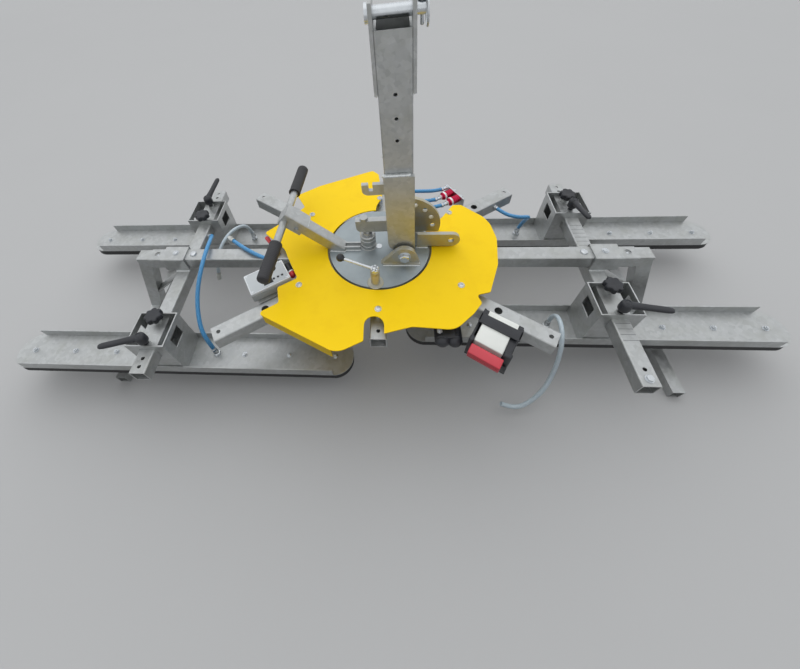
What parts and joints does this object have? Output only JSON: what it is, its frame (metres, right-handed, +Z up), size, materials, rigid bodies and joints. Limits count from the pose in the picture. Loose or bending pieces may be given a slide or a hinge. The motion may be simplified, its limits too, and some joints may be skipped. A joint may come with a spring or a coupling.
{
  "type": "vacuum panel lifter",
  "caption": "Crane-hung vacuum lifter for glass and cladding panels: a cross frame on parking legs with long sliding suction pads, a turntable and a tilting mast.",
  "frame": {"origin": "on the floor under the turntable axis, midway between the feet", "axes": "+X along the main beam to the right, +Y to the rear, +Z up"},
  "size_m": [2.0854, 0.642, 0.8863],
  "materials": {
    "galvanised_steel": "dull zinc spangle",
    "zinc_bright": "bright zinc plate",
    "zinc_yellow": "yellow chromate zinc plate",
    "cover_yellow": "yellow powder coat",
    "black_rubber": "matt",
    "black_plastic": "fine grain",
    "white_plastic": "satin",
    "red_plastic": "semi-gloss",
    "blue_hose": "satin",
    "clear_hose": "satin",
    "brass": "turned"
  },
  "bodies": {
    "frame": {"main_beam": "galvanised_steel", "cross_tube_left": "galvanised_steel", "cross_tube_right": "galvanised_steel", "leg_left": "galvanised_steel", "leg_right": "galvanised_steel", "hub_spider": "galvanised_steel", "bearing_ring": "zinc_bright", "cover": "cover_yellow", "frame_fasteners": "zinc_bright", "control_box": "white_plastic", "battery_holder": "black_plastic", "vacuum_pump": "black_plastic", "valve_filters": "red_plastic", "valve_bodies": "brass", "hose_front_left": "blue_hose", "hose_rear_right": "blue_hose", "hose_supply": "blue_hose", "hose_valves": "blue_hose"},
    "turntable": {"turntable_disc": "zinc_bright", "king_pin": "zinc_bright", "tilt_lugs": "zinc_yellow", "hinge_bolt": "zinc_bright", "handle_frame": "galvanised_steel", "handle_grips": "black_rubber", "plunger_barrel": "zinc_yellow", "stop_barrel": "zinc_yellow"},
    "plunger_lever": {"plunger_lever": "black_plastic"},
    "plunger_pin": {"plunger_pin": "zinc_bright"},
    "mast": {"mast": "galvanised_steel"},
    "lifting_pin": {"lifting_pin": "zinc_bright"},
    "linch_pin": {"linch_pin": "zinc_bright"},
    "control_knob": {"control_knob": "black_plastic"},
    "battery": {"battery": "white_plastic"},
    "valve_lever": {"valve_lever": "red_plastic"},
    "pad_front_left": {"carrier_front_left": "galvanised_steel", "pad_channel_front_left": "galvanised_steel", "pad_seal_front_left": "black_rubber", "pad_fittings_front_left": "zinc_bright"},
    "star_knob_front_left": {"star_knob_front_left": "black_plastic"},
    "clamp_lever_front_left": {"clamp_lever_front_left": "black_plastic"},
    "pad_front_right": {"carrier_front_right": "galvanised_steel", "pad_channel_front_right": "galvanised_steel", "pad_seal_front_right": "black_rubber", "pad_fittings_front_right": "zinc_bright", "hose_free": "clear_hose"},
    "star_knob_front_right": {"star_knob_front_right": "black_plastic"},
    "clamp_lever_front_right": {"clamp_lever_front_right": "black_plastic"},
    "pad_rear_left": {"carrier_rear_left": "galvanised_steel", "pad_channel_rear_left": "galvanised_steel", "pad_seal_rear_left": "black_rubber", "pad_fittings_rear_left": "zinc_bright", "hose_rear_left": "clear_hose"},
    "star_knob_rear_left": {"star_knob_rear_left": "black_plastic"},
    "clamp_lever_rear_left": {"clamp_lever_rear_left": "black_plastic"},
    "pad_rear_right": {"carrier_rear_right": "galvanised_steel", "pad_channel_rear_right": "galvanised_steel", "pad_seal_rear_right": "black_rubber", "pad_fittings_rear_right": "zinc_bright"},
    "star_knob_rear_right": {"star_knob_rear_right": "black_plastic"},
    "clamp_lever_rear_right": {"clamp_lever_rear_right": "black_plastic"}
  },
  "joints": [
    {"name": "turntable_turn", "type": "hinge", "parent": "frame", "child": "turntable", "pos_m": [0, 0, 0.285], "axis": [0, 0, 1], "continuous": true},
    {"name": "plunger_lever_turn", "type": "hinge", "parent": "turntable", "child": "plunger_lever", "pos_m": [-0.00702, -0.11479, 0.365], "axis": [0, 0, 1], "range_deg": [0, 90]},
    {"name": "plunger_drop", "type": "slide", "parent": "turntable", "child": "plunger_pin", "axis": [0, 0, -1], "range_m": [0, 0.0151]},
    {"name": "mast_tilt", "type": "hinge", "parent": "turntable", "child": "mast", "pos_m": [0.064, 0, 0.343], "axis": [0, 1, 0], "range_deg": [0, 92.5]},
    {"name": "lifting_pin_turn", "type": "hinge", "parent": "mast", "child": "lifting_pin", "pos_m": [0.03524, 0, 0.86424], "axis": [0.999, 0, 0.0436], "continuous": true},
    {"name": "linch_pin_pull", "type": "slide", "parent": "lifting_pin", "child": "linch_pin", "axis": [-0.0436, 0, 0.999], "range_m": [0, 0.045]},
    {"name": "control_knob_turn", "type": "hinge", "parent": "frame", "child": "control_knob", "pos_m": [-0.27212, -0.07629, 0.318], "axis": [0, 0, 1], "range_deg": [-150, 150]},
    {"name": "battery_slide", "type": "slide", "parent": "frame", "child": "battery", "axis": [0.848, -0.5299, 0], "range_m": [0, 0.095]},
    {"name": "valve_lever_turn", "type": "hinge", "parent": "frame", "child": "valve_lever", "pos_m": [-0.283, 0, 0.3], "axis": [0, 0, 1], "range_deg": [-90, 0]},
    {"name": "pad_slide_front_left", "type": "slide", "parent": "frame", "child": "pad_front_left", "axis": [0, 1, 0], "range_m": [-0.053, 0.137], "deforming": ["hose_front_left"]},
    {"name": "star_knob_turn_front_left", "type": "hinge", "parent": "pad_front_left", "child": "star_knob_front_left", "pos_m": [-0.566, -0.189, 0.265], "axis": [0, 0, 1], "continuous": true},
    {"name": "clamp_lever_turn_front_left", "type": "hinge", "parent": "pad_front_left", "child": "clamp_lever_front_left", "pos_m": [-0.566, -0.252, 0.265], "axis": [0, 0, 1], "range_deg": [-120, 120]},
    {"name": "pad_slide_front_right", "type": "slide", "parent": "frame", "child": "pad_front_right", "axis": [0, 1, 0], "range_m": [-0.128, 0.04]},
    {"name": "star_knob_turn_front_right", "type": "hinge", "parent": "pad_front_right", "child": "star_knob_front_right", "pos_m": [0.566, -0.0925, 0.265], "axis": [0, 0, 1], "continuous": true},
    {"name": "clamp_lever_turn_front_right", "type": "hinge", "parent": "pad_front_right", "child": "clamp_lever_front_right", "pos_m": [0.566, -0.1535, 0.265], "axis": [0, 0, 1], "range_deg": [-120, 120]},
    {"name": "pad_slide_rear_left", "type": "slide", "parent": "frame", "child": "pad_rear_left", "axis": [0, 1, 0], "range_m": [-0.024, 0.066]},
    {"name": "star_knob_turn_rear_left", "type": "hinge", "parent": "pad_rear_left", "child": "star_knob_rear_left", "pos_m": [-0.566, 0.169, 0.265], "axis": [0, 0, 1], "continuous": true},
    {"name": "clamp_lever_turn_rear_left", "type": "hinge", "parent": "pad_rear_left", "child": "clamp_lever_rear_left", "pos_m": [-0.566, 0.234, 0.265], "axis": [0, 0, 1], "range_deg": [-120, 120]},
    {"name": "pad_slide_rear_right", "type": "slide", "parent": "frame", "child": "pad_rear_right", "axis": [0, 1, 0], "range_m": [-0.07, 0.055], "deforming": ["hose_rear_right"]},
    {"name": "star_knob_turn_rear_right", "type": "hinge", "parent": "pad_rear_right", "child": "star_knob_rear_right", "pos_m": [0.566, 0.235, 0.265], "axis": [0, 0, 1], "continuous": true},
    {"name": "clamp_lever_turn_rear_right", "type": "hinge", "parent": "pad_rear_right", "child": "clamp_lever_rear_right", "pos_m": [0.566, 0.191, 0.265], "axis": [0, 0, 1], "range_deg": [-120, 120]}
  ],
  "couplings": [
    {"joint": "plunger_drop", "follows": "plunger_lever_turn", "m_per_rad": 0.009549}
  ]
}
